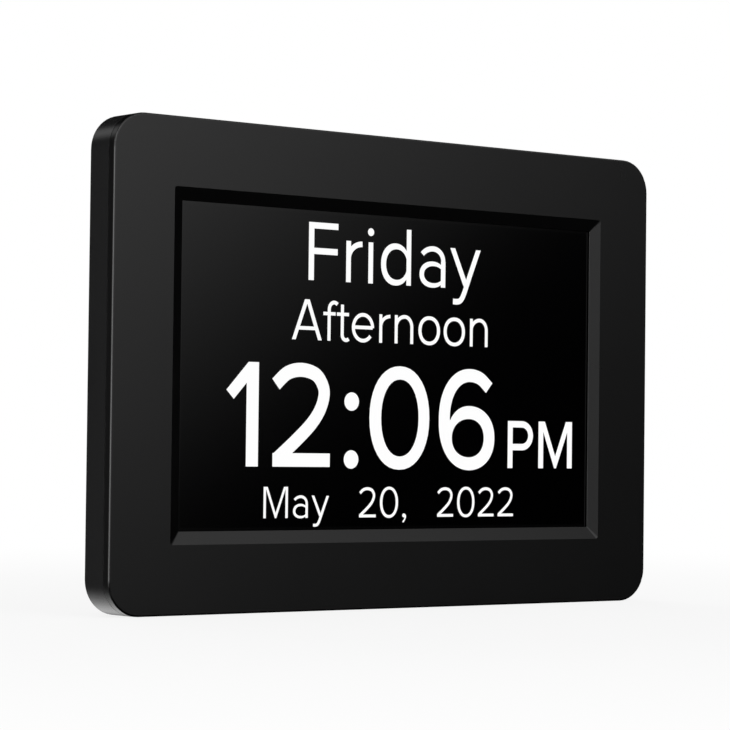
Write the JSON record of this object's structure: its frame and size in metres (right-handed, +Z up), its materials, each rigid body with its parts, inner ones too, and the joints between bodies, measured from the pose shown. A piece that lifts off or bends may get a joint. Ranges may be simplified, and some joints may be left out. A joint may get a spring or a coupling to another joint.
{
  "type": "dementia day clock",
  "caption": "Slim rectangular display clock with a bevelled window, two-piece case, fold-out rear leg, rear push buttons, loudspeaker and power inlet.",
  "frame": {"origin": "centre of the flat underside that the clock rests on", "axes": "+X to the viewer's right when facing the display, +Y from the display towards the back, +Z up"},
  "size_m": [0.2, 0.0268, 0.138],
  "materials": {
    "case_plastic": "fine satin texture",
    "button_plastic": "satin",
    "plunger_plastic": "smooth",
    "foam": "closed cell foam",
    "display_glass": "polished, dark",
    "diffuser_film": "frosted",
    "light_guide": "polished acrylic",
    "lamp_bar": "white resin",
    "tray_steel": "plain sheet",
    "retainer_steel": "plain sheet",
    "flex_film": "amber film",
    "socket_plastic": "ivory, smooth",
    "screw_steel": "black zinc",
    "circuit_board": "green solder mask",
    "chip_resin": "moulded resin",
    "can_metal": "bright can",
    "cell_steel": "bright nickel",
    "jack_plastic": "smooth",
    "contact_brass": "plated",
    "switch_plastic": "smooth",
    "basket_steel": "black",
    "cone_paper": "pressed paper",
    "magnet_ferrite": "sintered",
    "pad_rubber": "soft",
    "pin_steel": "drawn",
    "lead_sheath": "smooth sheath"
  },
  "bodies": {
    "case": {"front_bezel": "case_plastic", "rear_shell": "case_plastic", "display_gasket": "foam", "display_glass": "display_glass", "display_diffuser": "diffuser_film", "backlight_guide": "light_guide", "backlight_lamp_bar": "lamp_bar", "display_tray": "tray_steel", "display_flex": "flex_film", "flex_socket": "socket_plastic", "display_retainer_left": "retainer_steel", "display_retainer_right": "retainer_steel", "retainer_screws": "screw_steel", "case_screws": "screw_steel", "board_screws": "screw_steel", "button_board_screws": "screw_steel", "speaker_screws": "screw_steel", "main_board": "circuit_board", "button_board": "circuit_board", "processor_chip": "chip_resin", "memory_chip": "chip_resin", "sound_chip": "chip_resin", "power_coil": "chip_resin", "clock_crystal": "can_metal", "capacitors": "can_metal", "cell_holder": "socket_plastic", "clock_cell": "cell_steel", "speaker_socket": "socket_plastic", "button_socket": "socket_plastic", "power_jack": "jack_plastic", "power_jack_pin": "contact_brass", "button_switches": "switch_plastic", "speaker_basket": "basket_steel", "speaker_cone": "cone_paper", "speaker_magnet": "magnet_ferrite", "leg_pin": "pin_steel", "speaker_lead": "lead_sheath", "button_lead": "lead_sheath"},
    "leg": {"stand_leg": "case_plastic", "leg_pads": "pad_rubber"},
    "right_button": {"button_right": "button_plastic", "plunger_right": "plunger_plastic"},
    "left_button": {"button_left": "button_plastic", "plunger_left": "plunger_plastic"},
    "down_button": {"button_down": "button_plastic", "plunger_down": "plunger_plastic"},
    "up_button": {"button_up": "button_plastic", "plunger_up": "plunger_plastic"},
    "exit_button": {"button_exit": "button_plastic", "plunger_exit": "plunger_plastic"},
    "menu_button": {"button_menu": "button_plastic", "plunger_menu": "plunger_plastic"}
  },
  "joints": [
    {"name": "leg_fold", "type": "hinge", "parent": "case", "child": "leg", "pos_m": [0, 0.0104, 0.086], "axis": [1, 0, 0], "range_deg": [0, 30]},
    {"name": "right_press", "type": "slide", "parent": "case", "child": "right_button", "axis": [0, -1, 0], "range_m": [0, 0.0006], "stiffness_N_per_m": 1200, "springref_m": -0.0005},
    {"name": "left_press", "type": "slide", "parent": "case", "child": "left_button", "axis": [0, -1, 0], "range_m": [0, 0.0006], "stiffness_N_per_m": 1200, "springref_m": -0.0005},
    {"name": "down_press", "type": "slide", "parent": "case", "child": "down_button", "axis": [0, -1, 0], "range_m": [0, 0.0006], "stiffness_N_per_m": 1200, "springref_m": -0.0005},
    {"name": "up_press", "type": "slide", "parent": "case", "child": "up_button", "axis": [0, -1, 0], "range_m": [0, 0.0006], "stiffness_N_per_m": 1200, "springref_m": -0.0005},
    {"name": "exit_press", "type": "slide", "parent": "case", "child": "exit_button", "axis": [0, -1, 0], "range_m": [0, 0.0006], "stiffness_N_per_m": 1200, "springref_m": -0.0005},
    {"name": "menu_press", "type": "slide", "parent": "case", "child": "menu_button", "axis": [0, -1, 0], "range_m": [0, 0.0006], "stiffness_N_per_m": 1200, "springref_m": -0.0005}
  ]
}
